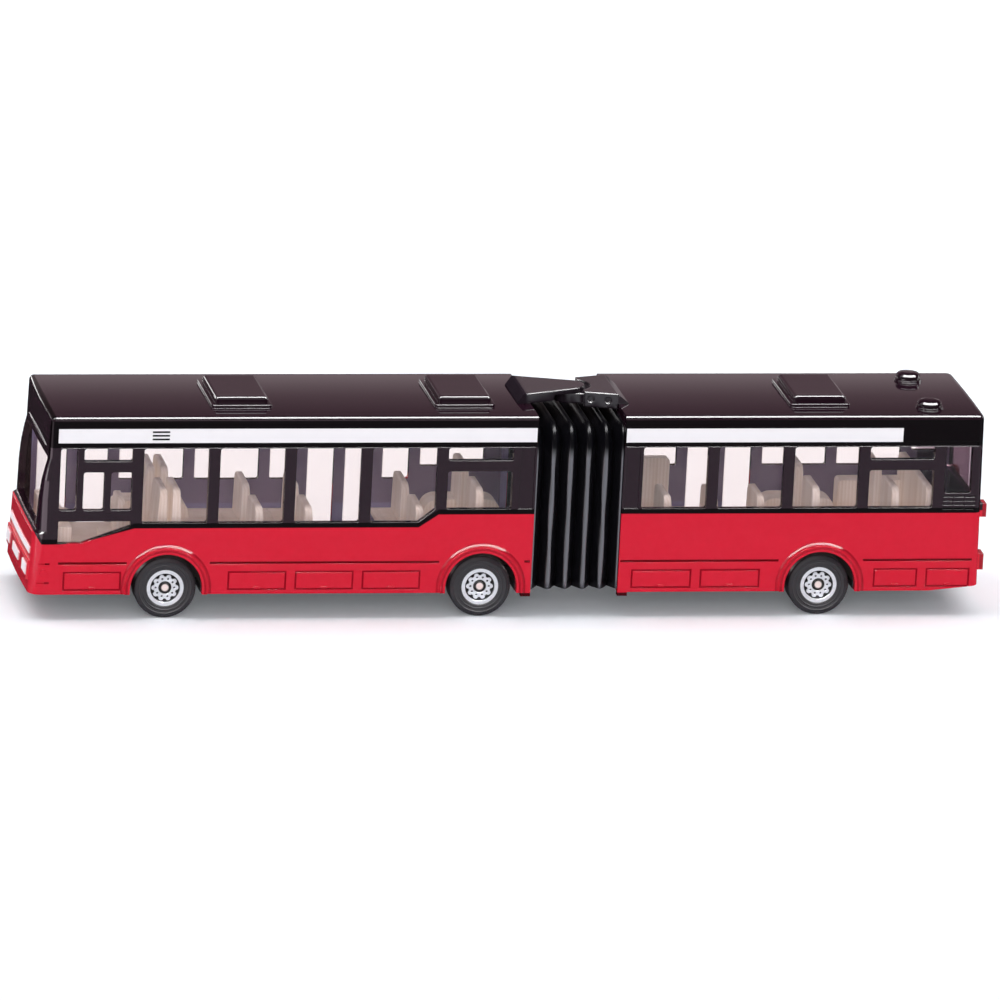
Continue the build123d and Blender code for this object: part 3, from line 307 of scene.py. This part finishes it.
def enamel(name, boundary, strip):
    """Gloss enamel on a casting: red below, black above, with the printed strip, and bare inside."""
    shader = Shader(name)
    x, y, z = shader.axes()
    across = shader.math("ABSOLUTE", y)
    red = shader.mottled(900, *enamel_red)
    black = shader.mottled(700, *enamel_black)
    level = boundary(shader, x)
    dark = shader.above(z, level)
    outside = shader.above(across, half_width - print_depth)
    # Painted shade: near-black bands over the windows up to the roof edge, and along the sills under them
    over_windows = shader.within(z, window_head, shade_band_top)
    under_windows = shader.below(z, shader.math("ADD", level, sill_shade))
    window_shade = shader.every(outside, shader.either(over_windows, under_windows))
    color = shader.mix(dark, red, shader.mix(window_shade, black, shade_black))

    strip_x, strip_z = strip
    in_strip = shader.every(outside, shader.within(x, *strip_x), shader.within(z, *strip_z))
    color = shader.mix(in_strip, color, strip_white)

    depth = shader.math("SUBTRACT", half_width, across)
    seams = shader.every(
        shader.above(depth, shader.ramp(dark, 0.0, 1.0, red_seam_depth, black_seam_depth)),
        shader.above(across, half_width - relief_depth),
        shader.within(x, *relief_x),
        shader.below(z, relief_top),
    )
    slots = shader.every(in_strip, shader.above(depth, red_seam_depth))
    sunk = shader.either(seams, slots)
    # Sunk seams, the skirt groove and the strip's slots are painted darker: painted shade in the recesses
    sunk_shade_red = shader.mix(shader.within(z, *groove_z), seam_shade_red, groove_shade_red)
    color = shader.mix(sunk, color, shader.mix(dark, sunk_shade_red, shade_black))
    # The lowest edge of the casting is painted dark red: painted shade under the body
    color = shader.mix(shader.below(z, underside_z), color, underside_shade_red)
    # Painted shade: the roof's rounded edge over the screen is near-black and dull
    brow_shade = shader.every(shader.above(z, brow_z), shader.below(x, brow_x))
    color = shader.mix(brow_shade, color, shade_black)
    color = shader.mix(casting_room(shader, x, across, z), color, inner_mauve)

    dull = shader.either(window_shade, brow_shade, sunk)
    specular = shader.ramp(dull, 0.0, 1.0, enamel_specular, dull_specular)
    camber = shader.math("MULTIPLY", shader.math("MULTIPLY", y, y), -camber_share)
    camber = shader.math("MULTIPLY", camber, shader.above(z, camber_z))
    lips = shader.math("MULTIPLY", arch_lips(shader), outside)
    height = shader.math("ADD", camber, lips)
    normal = shader.bump(height, 1.0, 1.0, shader.rounded(enamel_rounding))
    shader.set(rough=enamel_rough, specular=specular, normal=normal)
    return shader, color


def casting_room(shader, x, across, z):
    """The inside of a casting, which shows through the windows."""
    return shader.every(
        shader.below(across, half_width - wall_depth),
        shader.below(z, roof_z - wall_depth),
        shader.within(x, *room_x),
        shader.either(shader.below(x, front_room_end), shader.above(x, rear_room_start)),
    )


def arch_lips(shader):
    """Height of the round lip over each wheel arch."""
    total = 0.0
    for axle_x in axle_places.values():
        lip = shader.round_ring(shader.reach(axle_x), lip_radius - lip_width, lip_radius, lip_height)
        total = shader.math("ADD", total, lip)
    return total


def front_boundary(shader, x):
    """Where black starts: at the screen's ledge, low by the driver, raised over the middle axle."""
    nose = shader.ramp(x, nose_x + 1.2 * mm, nose_x + 2.4 * mm, 15.5 * mm, 13.5 * mm)
    bend = shader.ramp(x, -79.0 * mm, -74.6 * mm, 0.0, 0.45 * mm)
    rise = shader.ramp(x, -74.6 * mm, -66.0 * mm, 0.0, 2.4 * mm)
    step = shader.ramp(x, -16.3 * mm, -12.9 * mm, 0.0, 2.3 * mm)
    return shader.math("ADD", shader.math("ADD", nose, bend), shader.math("ADD", rise, step))


def rear_boundary(shader, x):
    """Where black starts: all but level, and a hair lower at the tail."""
    return shader.ramp(x, rear_start_x, tail_x, 18.65 * mm, 18.6 * mm)


def front_enamel():
    shader, color = enamel("front_enamel", front_boundary, front_strip)
    x, y, z = shader.axes()
    across = shader.math("ABSOLUTE", y)
    fittings = 0.0
    for (y0, y1), (z0, z1) in nose_fittings.values():
        face = shader.every(shader.within(z, z0 * mm, z1 * mm), shader.within(across, y0 * mm, y1 * mm))
        fittings = shader.either(fittings, face)
    fittings = shader.every(fittings, shader.below(x, fitting_x))
    color = shader.mix(fittings, color, fitting_white)
    # Painted light: the fittings glow a little
    glow = shader.math("MULTIPLY", fittings, painted_fitting_glow)
    return shader.set(color=color, glow=glow, glow_color=painted_fitting_light)


def rear_enamel():
    shader, color = enamel("rear_enamel", rear_boundary, rear_strip)
    lamps = shader.above(shader.axes()["X"], lamp_x)
    return shader.set(color=shader.mix(lamps, color, lamp_red))


# Window inserts

glass_tint = srgb(252, 248, 247), srgb(254, 250, 249)
tail_tint = srgb(206, 192, 198)
tail_glass_x = tail_x - 7.2 * mm
glass_rough = 0.04
glancing_power = 5.0
glancing_share = 0.25
facing_share = 0.02


def clear_plastic():
    """Thin plastic that light goes straight through, with gloss that grows at a glancing angle."""
    shader = Shader("clear_plastic")
    at_tail = shader.above(shader.axes()["X"], tail_glass_x)
    tint = shader.mix(at_tail, shader.mottled(60, *glass_tint), tail_tint)
    through = shader.add("ShaderNodeBsdfTransparent")
    shader.feed(through.inputs["Color"], tint)
    gloss = shader.add("ShaderNodeBsdfGlossy")
    gloss.inputs["Roughness"].default_value = glass_rough
    facing = shader.add("ShaderNodeLayerWeight").outputs["Facing"]
    glancing = shader.math("MULTIPLY", shader.math("POWER", facing, glancing_power), glancing_share)
    look = shader.add("ShaderNodeMixShader")
    shader.feed(look.inputs[0], shader.math("ADD", glancing, facing_share))
    shader.feed(look.inputs[1], through.outputs[0])
    shader.feed(look.inputs[2], gloss.outputs[0])
    shader.feed(shader.output.inputs["Surface"], look.outputs[0])
    return shader.material


# Seats

seat_cream = srgb(230, 215, 203), srgb(255, 248, 243)
seat_foot = srgb(230, 212, 200)
seat_foot_z = 9 * mm, 15 * mm
# The seats glow a little in their own colour: painted light inside the bus
seat_painted_glow = 0.1
rib_pitch = 0.62 * mm
rib_slant = 0.83
streak_share = 9.0


def seat_plastic():
    """Cream plastic with fine upright ribs, a little darker low down, and a faint painted glow in its own
    colour.
    """
    shader = Shader("seat_plastic")
    x, y, z = shader.axes()
    along = shader.math("ADD", x, shader.math("MULTIPLY", y, rib_slant))
    wave = shader.math("SINE", shader.math("MULTIPLY", along, 2 * math.pi / rib_pitch))
    streaks = shader.math("MULTIPLY", shader.noise(420, 2.0, (1.0, 1.0, 0.05)), streak_share)
    ribs = shader.ramp(shader.math("ADD", wave, streaks), 2.0, 7.5)
    color = shader.mix(shader.ramp(z, *seat_foot_z), seat_foot, shader.mix(ribs, *seat_cream))
    normal = shader.bump(ribs, 0.5, 0.12 * mm, shader.rounded(0.3 * mm))
    return shader.set(
        color=color, rough=0.45, specular=0.08, normal=normal, glow=seat_painted_glow, glow_color=color
    )


# Black plastic of the base plates and of the roof link

base_black = srgb(26, 25, 27), srgb(36, 35, 38)
link_black = srgb(36, 28, 35), srgb(44, 36, 43)
hood_foot_x = 3.0 * mm, 3.6 * mm
link_specular = 0.5


def base_plastic():
    shader = Shader("base_plastic")
    normal = shader.bump(shader.noise(2500), 0.25, 0.03 * mm, shader.rounded(0.12 * mm))
    return shader.set(color=shader.mottled(300, *base_black), rough=0.45, normal=normal)


def link_gloss():
    """Gloss black, but for the dull ramp at the hood's foot."""
    shader = Shader("link_gloss")
    specular = shader.ramp(shader.axes()["X"], *hood_foot_x, 0.0, link_specular)
    normal = shader.bump(shader.noise(2500), 0.1, 0.03 * mm, shader.rounded(0.4 * mm))
    color = shader.mottled(300, *link_black)
    return shader.set(color=color, rough=0.16, specular=specular, normal=normal)


# Rivet, pins and wheels

rivet_tones = srgb(176, 176, 180), srgb(206, 206, 210)
# Pin head: steel tones brightened as a painted highlight, and a dark painted shade at its edge
pin_tones_and_highlight = srgb(226, 206, 202), srgb(246, 230, 226)
pin_edge_shade = srgb(26, 22, 24)
pin_shade_reach = 0.5 * mm, 0.72 * mm
wheel_black = srgb(22, 20, 22)
silver_tones = srgb(196, 198, 204), srgb(226, 228, 232)
hole_grey = srgb(92, 92, 96)
print_reach = 1.12 * mm, 3.22 * mm
dish_depth = 0.62 * mm
hole_depth = 0.4 * mm
tyre_tones = srgb(24, 21, 27), srgb(35, 31, 38)
tyre_grain = 0.015 * mm
ring_middles = 3.95 * mm, 4.6 * mm
ring_width = 0.3 * mm
ring_height = 0.06 * mm


def rivet_steel():
    shader = Shader("rivet_steel")
    color = shader.mottled(1500, *rivet_tones)
    return shader.set(color=color, rough=0.35, metal=0.9, normal=shader.rounded(0.2 * mm))


def pin_steel(name, axle_x):
    """Turned pin whose rounded head is painted bright in the middle, steel with a painted highlight, and
    painted dark where it turns away, as painted shade.
    """
    shader = Shader(name)
    shaded_edge = shader.ramp(shader.reach(axle_x), *pin_shade_reach)
    color = shader.mix(shaded_edge, shader.mottled(1500, *pin_tones_and_highlight), pin_edge_shade)
    return shader.set(color=color, rough=0.35, metal=0.5, normal=shader.rounded(0.25 * mm))


def wheel_print(name, axle_x):
    """Black wheel centre with silver printed on the ring and on the scalloped hub, but not in the dish."""
    shader = Shader(name)
    across = shader.math("ABSOLUTE", shader.axes()["Y"])
    raised = shader.above(across, wheel_face_y - dish_depth)
    silver = shader.every(raised, shader.within(shader.reach(axle_x), *print_reach))
    holes = shader.above(shader.math("SUBTRACT", wheel_face_y, across), hole_depth)
    plate = shader.mix(holes, shader.mottled(1800, *silver_tones), hole_grey)
    color = shader.mix(silver, wheel_black, plate)
    rough = shader.ramp(silver, 0.0, 1.0, 0.5, 0.3)
    metal = shader.math("MULTIPLY", silver, 0.75)
    return shader.set(color=color, rough=rough, metal=metal, normal=shader.rounded(0.08 * mm))


def tyre_plastic(name, axle_x):
    """Black plastic tyre with two fine rings raised on its sidewall."""
    shader = Shader(name)
    reach = shader.reach(axle_x)
    grain = shader.noise(1600)
    height = shader.math("MULTIPLY", grain, tyre_grain)
    for middle in ring_middles:
        ring = shader.round_ring(reach, middle - ring_width / 2, middle + ring_width / 2, ring_height)
        height = shader.math("ADD", height, ring)
    normal = shader.bump(height, 1.0, 1.0, shader.rounded(0.2 * mm))
    return shader.set(color=shader.mix(grain, *tyre_tones), rough=0.42, specular=0.45, normal=normal)


# Each solid's material

node_materials = {
    "front_body": front_enamel(),
    "rear_body": rear_enamel(),
    "coupling_rivet": rivet_steel(),
}
shared_materials = {
    "glazing": clear_plastic(),
    "interior": seat_plastic(),
    "chassis": base_plastic(),
}
link_material = link_gloss()
for section in ("front", "rear"):
    for piece, material in shared_materials.items():
        node_materials[f"{section}_{piece}"] = material
    node_materials[f"roof_link_{section}"] = link_material
for axle, axle_x in axle_places.items():
    rim_material = wheel_print(f"{axle}_wheel_print", axle_x)
    tyre_material = tyre_plastic(f"{axle}_tyre_plastic", axle_x)
    node_materials[f"axle_{axle}"] = pin_steel(f"{axle}_pin_steel", axle_x)
    for side in ("near", "far"):
        node_materials[f"{axle}_{side}_tyre"] = tyre_material
        node_materials[f"{axle}_{side}_rim"] = rim_material
for name, material in node_materials.items():
    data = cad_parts[name].data
    data.materials.clear()
    data.materials.append(material)


def add_piece(name, build):
    """A new object from a bmesh, which is freed."""
    mesh = bpy.data.meshes.new(name)
    build.to_mesh(mesh)
    build.free()
    piece = bpy.data.objects.new(name, mesh)
    bpy.context.scene.collection.objects.link(piece)
    return piece


# The bellows: one folded sheet in rounded arches, open underneath

pleats = 5
fold_depth = 2.4 * mm
fold_power = 1.12
skin = 0.5 * mm
wobble = 0.13 * mm
wobble_pitch = 13.0 * mm
arch_corner = 3.2 * mm
steps_per_pleat = 16
corner_steps = 8
leg_steps = 18

vinyl_tones = srgb(8, 7, 10), srgb(15, 14, 18)
vinyl_sheen = srgb(240, 236, 255)
crest_share = 0.82, 0.97
shoulder_z = 28.5 * mm, 30.5 * mm
shoulder_shine = 0.02
flank_z = 29.0 * mm, 31.0 * mm
flank_specular = 0.14


def arch_points(inset):
    """An arch in the YZ plane, from the near foot over the top to the far foot."""
    half = bellows_high.y - inset
    top = bellows_high.z - inset
    foot = bellows_low.z
    radius = arch_corner
    points = []
    for k in range(leg_steps):
        points.append((-half, foot + (top - radius - foot) * k / leg_steps))
    for k in range(corner_steps + 1):
        turn = math.pi / 2 * k / corner_steps
        points.append((-half + radius - radius * math.cos(turn), top - radius + radius * math.sin(turn)))
    across = 2 * (half - radius)
    for k in range(1, leg_steps):
        points.append((-half + radius + across * k / leg_steps, top))
    far = [(-y, z) for y, z in reversed(points[: leg_steps + corner_steps + 1])]
    return points + far


def fold(share):
    """How far the sheet stands in from its ridges, as a share, over one pleat from ridge to ridge."""
    return (1 - abs(1 - 2 * share)) ** fold_power


def bellows_vinyl():
    """Near-black vinyl that shines along the crest of each fold, but not over its shoulder."""
    shader = Shader("bellows_vinyl")
    z = shader.axes()["Z"]
    crest = shader.add("ShaderNodeAttribute", attribute_name="crest").outputs["Fac"]
    lower = shader.ramp(z, *shoulder_z, 1.0, shoulder_shine)
    shine = shader.math("MULTIPLY", shader.ramp(crest, *crest_share), lower)
    flanks = shader.ramp(z, *flank_z, flank_specular, shoulder_shine)
    return shader.set(
        color=shader.mottled(300, *vinyl_tones),
        rough=0.3,
        specular=shader.either(flanks, shine),
        coat=shine,
        coat_rough=0.15,
        coat_ior=1.8,
        coat_tint=vinyl_sheen,
        normal=shader.bump(shader.noise(900), 0.25, 0.05 * mm),
    )


def make_bellows():
    build = bmesh.new()
    crest = build.verts.layers.float.new("crest")
    rings = []
    count = pleats * steps_per_pleat
    for k in range(count + 1):
        share = k / steps_per_pleat % 1
        x = bellows_low.x + (bellows_high.x - bellows_low.x) * k / count
        inset = skin / 2 + fold_depth * fold(share)
        sway = wobble * fold(1 - abs(1 - 2 * k / count)) * (1 - fold(share))
        ring = []
        for y, z in arch_points(inset):
            turn = 2 * math.pi * z / wobble_pitch + k
            corner = build.verts.new((x + sway * math.sin(turn), y, z))
            corner[crest] = 1 - fold(share)
            ring.append(corner)
        rings.append(ring)
    for first, second in zip(rings, rings[1:]):
        for k in range(len(first) - 1):
            build.faces.new((first[k], second[k], second[k + 1], first[k + 1]))
    for face in build.faces:
        face.smooth = True
    build.normal_update()
    piece = add_piece("bellows_sheet", build)
    thicken = piece.modifiers.new("thickness", "SOLIDIFY")
    thicken.thickness = skin
    thicken.offset = 0
    piece.data.materials.append(bellows_vinyl())
    return piece


bellows = make_bellows()
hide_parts("bellows")
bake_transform(bellows)


# A raised lid on each roof hatch, over the casting's two low tiers

lid_length = 9.2 * mm
lid_near_y = -7.85 * mm
lid_far_y = 6.5 * mm
lid_foot = roof_z + 0.55 * mm
lid_top = roof_z + 1.88 * mm
lid_round = 0.55 * mm
lid_round_steps = 6
hatch_places = {
    "front_hatch_lid": (nose_x + 37.3 * mm, "front_section"),
    "middle_hatch_lid": (front_end_x - 12.0 * mm, "front_section"),
    "rear_hatch_lid": (rear_start_x + 35.4 * mm, "rear_section"),
}


def lid_gloss():
    """Gloss black like the roof around it."""
    shader = Shader("lid_gloss")
    color = shader.mottled(700, *enamel_black)
    return shader.set(color=color, rough=enamel_rough, specular=enamel_specular)


def make_lid(name, middle_x, body, material):
    build = bmesh.new()
    size = (lid_length, lid_far_y - lid_near_y, lid_top - lid_foot)
    place = Matrix.Translation((middle_x, (lid_far_y + lid_near_y) / 2, (lid_top + lid_foot) / 2))
    bmesh.ops.create_cube(build, size=1.0, matrix=place @ Matrix.Diagonal((*size, 1.0)))
    upper = [edge for edge in build.edges if sum(v.co.z for v in edge.verts) > lid_top + lid_foot]
    bmesh.ops.bevel(
        build, geom=upper, offset=lid_round, segments=lid_round_steps, profile=0.5, affect="EDGES"
    )
    piece = add_piece(name, build)
    piece.data.materials.append(material)
    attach(piece, body)


lid_material = lid_gloss()
for name, (middle_x, body) in hatch_places.items():
    make_lid(name, middle_x, body, lid_material)


# Floor

floor_half = 4.0
floor_tones = srgb(238, 242, 246), srgb(241, 245, 248)
lift_color = (0.9, 0.95, 1.0, 1.0)
lift_y = 0.1, 0.5
near_lift = 0.1
mirrored_color = (0.03, 0.025, 0.028, 1.0)
mirrored_y = -0.015, 0.0
glint_x = -0.3, -0.105
glint_y = -0.1, -0.02
glint_strength = 220.0


def floor_white():
    """White to the camera where nothing shades it, and something else to gloss that mirrors it.

    Gloss finds it dark behind the bus, and very bright in one patch that draws the nose's glints.
    """
    shader = Shader("floor_white")
    axes = shader.axes()
    x, y = axes["X"], axes["Y"]
    shader.set(color=shader.mottled(3, *floor_tones), rough=0.9, specular=0.0)
    rays = shader.add("ShaderNodeLightPath").outputs

    lift = shader.add("ShaderNodeEmission")
    lift.inputs["Color"].default_value = lift_color
    strength = shader.ramp(y, *lift_y, near_lift, 1.0)
    shader.feed(lift.inputs["Strength"], shader.math("MULTIPLY", rays["Is Camera Ray"], strength))
    seen = shader.add("ShaderNodeAddShader")
    shader.feed(seen.inputs[0], shader.principled.outputs[0])
    shader.feed(seen.inputs[1], lift.outputs[0])

    glint = shader.every(shader.within(x, *glint_x), shader.within(y, *glint_y))
    mirrored = shader.add("ShaderNodeEmission")
    mirrored.inputs["Color"].default_value = mirrored_color
    shader.feed(mirrored.inputs["Strength"], shader.ramp(glint, 0.0, 1.0, 1.0, glint_strength))
    behind = shader.either(glint, shader.ramp(y, *mirrored_y))
    look = shader.add("ShaderNodeMixShader")
    shader.feed(look.inputs[0], shader.every(rays["Is Glossy Ray"], behind))
    shader.feed(look.inputs[1], seen.outputs[0])
    shader.feed(look.inputs[2], mirrored.outputs[0])
    shader.feed(shader.output.inputs["Surface"], look.outputs[0])
    return shader.material


def make_floor():
    half = floor_half
    corners = [(-half, -half, 0), (half, -half, 0), (half, half, 0), (-half, half, 0)]
    mesh = bpy.data.meshes.new("floor")
    mesh.from_pydata(corners, [], [(0, 1, 2, 3)])
    mesh.materials.append(floor_white())
    floor = bpy.data.objects.new("floor", mesh)
    bpy.context.scene.collection.objects.link(floor)


make_floor()


# World

white = (1, 1, 1, 1)
ambient = (0.5, 0.5, 0.52, 1)
gloss_sky = (
    (0.0, (0.6, 0.53, 0.55, 1)),
    (0.17, (0.5, 0.4, 0.42, 1)),
    (0.28, (0.3, 0.22, 0.235, 1)),
    (0.4, (0.17, 0.12, 0.125, 1)),
    (0.6, (0.03, 0.03, 0.03, 1)),
    (1.0, (0.03, 0.03, 0.03, 1)),
)


def make_world():
    """White where the camera or glass sees it, soft light, and for gloss a sky that dims upwards."""
    world = bpy.data.worlds.new("studio")
    bpy.context.scene.world = world
    world.use_nodes = True
    nodes = world.node_tree.nodes
    link = world.node_tree.links.new
    rays = nodes.new("ShaderNodeLightPath").outputs
    place = nodes.new("ShaderNodeTexCoord")
    split = nodes.new("ShaderNodeSeparateXYZ")
    link(place.outputs["Generated"], split.inputs[0])
    sky = nodes.new("ShaderNodeValToRGB")
    link(split.outputs["Z"], sky.inputs["Fac"])
    points = sky.color_ramp.elements
    for share, tone in gloss_sky[1:-1]:
        points.new(share).color = tone
    for point, (share, tone) in ((points[0], gloss_sky[0]), (points[-1], gloss_sky[-1])):
        point.position = share
        point.color = tone
    lit = nodes.new("ShaderNodeMix")
    lit.data_type = "RGBA"
    link(rays["Is Glossy Ray"], lit.inputs["Factor"])
    lit.inputs["A"].default_value = ambient
    link(sky.outputs["Color"], lit.inputs["B"])
    seen = nodes.new("ShaderNodeMath")
    seen.operation = "MAXIMUM"
    link(rays["Is Camera Ray"], seen.inputs[0])
    link(rays["Is Transmission Ray"], seen.inputs[1])
    color = nodes.new("ShaderNodeMix")
    color.data_type = "RGBA"
    link(seen.outputs[0], color.inputs["Factor"])
    link(lit.outputs["Result"], color.inputs["A"])
    color.inputs["B"].default_value = white
    link(color.outputs["Result"], nodes["Background"].inputs["Color"])


make_world()


# Lights, each from a place towards an aim, with its width and height in metres

bus_middle = (0, 0, 0.02)


def make_light(name, place, aim, width, height, power):
    """A soft light of so many watts."""
    data = bpy.data.lights.new(name, "AREA")
    data.shape = "RECTANGLE"
    data.size = width
    data.size_y = height
    data.energy = power
    lamp = bpy.data.objects.new(name, data)
    bpy.context.scene.collection.objects.link(lamp)
    lamp.location = place
    lamp.rotation_euler = (Vector(aim) - Vector(place)).to_track_quat("-Z", "Y").to_euler()
    return lamp


def make_card(name, place, aim, width, height, radiance):
    """A bright card that only gloss mirrors, so that it draws highlights and adds no light."""
    lamp = make_light(name, place, aim, width, height, radiance * math.pi * width * height)
    lamp.visible_diffuse = False
    lamp.visible_camera = False
    lamp.visible_transmission = False


make_light("top_soft", (0.0, 0.06, 0.6), (0, 0, 0), 1.2, 0.3, 3.6)
make_light("front_soft", (-0.2, -1.2, 0.5), bus_middle, 1.0, 0.5, 3.95)
make_card("roof_edge_card", (0.0, -0.18, 0.7), (0, -0.18, 0), 1.6, 0.4, 70.0)
make_card("far_left_card", (-0.6, 1.5, 0.1), bus_middle, 0.7, 0.16, 6.0)
make_card("left_card", (-0.2, -0.05, 0.02), bus_middle, 0.06, 0.03, 6.0)
make_card("left_high_card", (-1.25, 0.15, 0.68), bus_middle, 0.6, 0.6, 8.0)
make_card("right_low_card", (1.5, 0.8, 0.38), bus_middle, 0.5, 0.3, 25.0)


# Camera: a long lens a little to the left of the bus, turned so that the bus lies level

view_azimuth = math.radians(-11.16)
view_elevation = math.radians(16.13)
view_roll = math.radians(2.94)
view_distance = 2.1
view_lens = 434.2
view_centre = Vector((0.5, 0, 17.1)) * mm


def make_camera():
    data = bpy.data.cameras.new("camera")
    data.lens = view_lens
    camera = bpy.data.objects.new("camera", data)
    bpy.context.scene.collection.objects.link(camera)
    back = Vector(
        (
            math.sin(view_azimuth) * math.cos(view_elevation),
            -math.cos(view_azimuth) * math.cos(view_elevation),
            math.sin(view_elevation),
        )
    )
    level = Vector((0, 0, 1)).cross(back).normalized()
    upright = back.cross(level)
    right = level * math.cos(view_roll) + upright * math.sin(view_roll)
    up = upright * math.cos(view_roll) - level * math.sin(view_roll)
    camera.rotation_mode = "QUATERNION"
    camera.rotation_quaternion = Matrix((right, up, back)).transposed().to_quaternion()
    camera.location = view_centre + back * view_distance
    bpy.context.scene.camera = camera


make_camera()
bpy.context.scene.view_settings.view_transform = "Standard"
